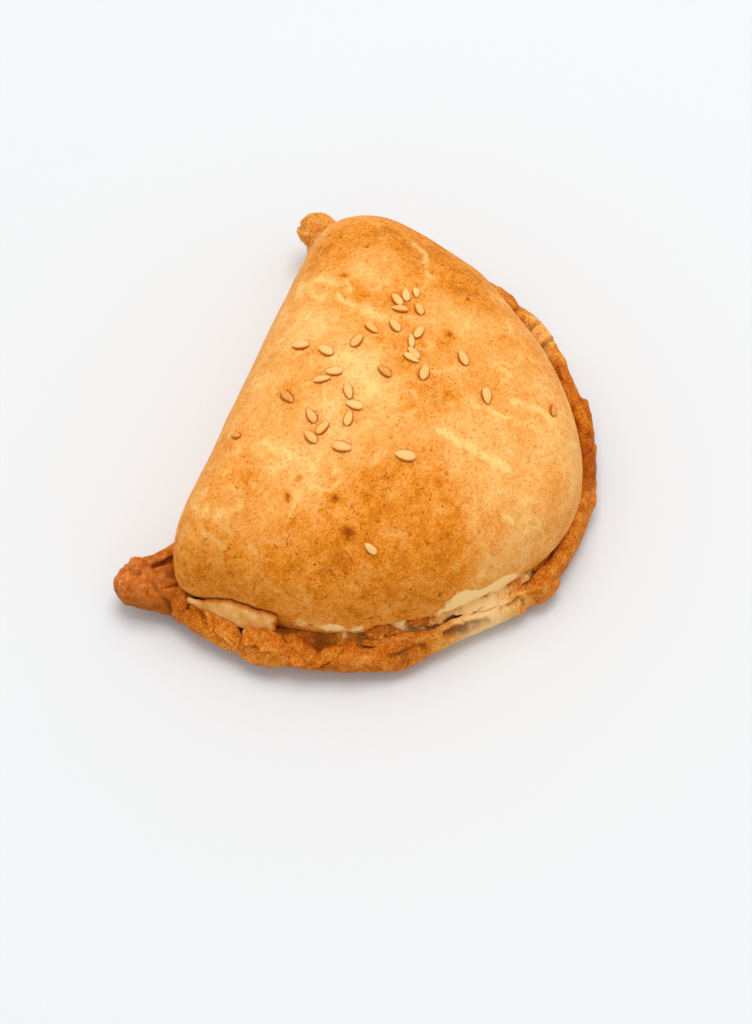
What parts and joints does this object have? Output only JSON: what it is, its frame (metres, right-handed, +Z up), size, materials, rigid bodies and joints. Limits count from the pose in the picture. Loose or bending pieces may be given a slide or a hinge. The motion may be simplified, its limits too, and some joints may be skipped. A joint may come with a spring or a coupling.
{
  "type": "empanada",
  "caption": "Oven-baked half-moon turnover with a domed golden crust, a crimped rim round the front, a short twisted horn at each end of the seam and baked-on sesame seeds.",
  "frame": {"origin": "centre of the pastry's bounding box in plan, on the flat face that it rests on", "axes": "+X along the fold, towards the horn that lies further from the picture's camera; the fold is at +Y and the crimped rim at -Y; +Z up"},
  "size_m": [0.112, 0.0912, 0.0439],
  "materials": {
    "baked_crust": "baked dough, golden tan with pale and browned patches, satin"
  },
  "bodies": {
    "root": {"pastry": "baked_crust"}
  },
  "joints": []
}
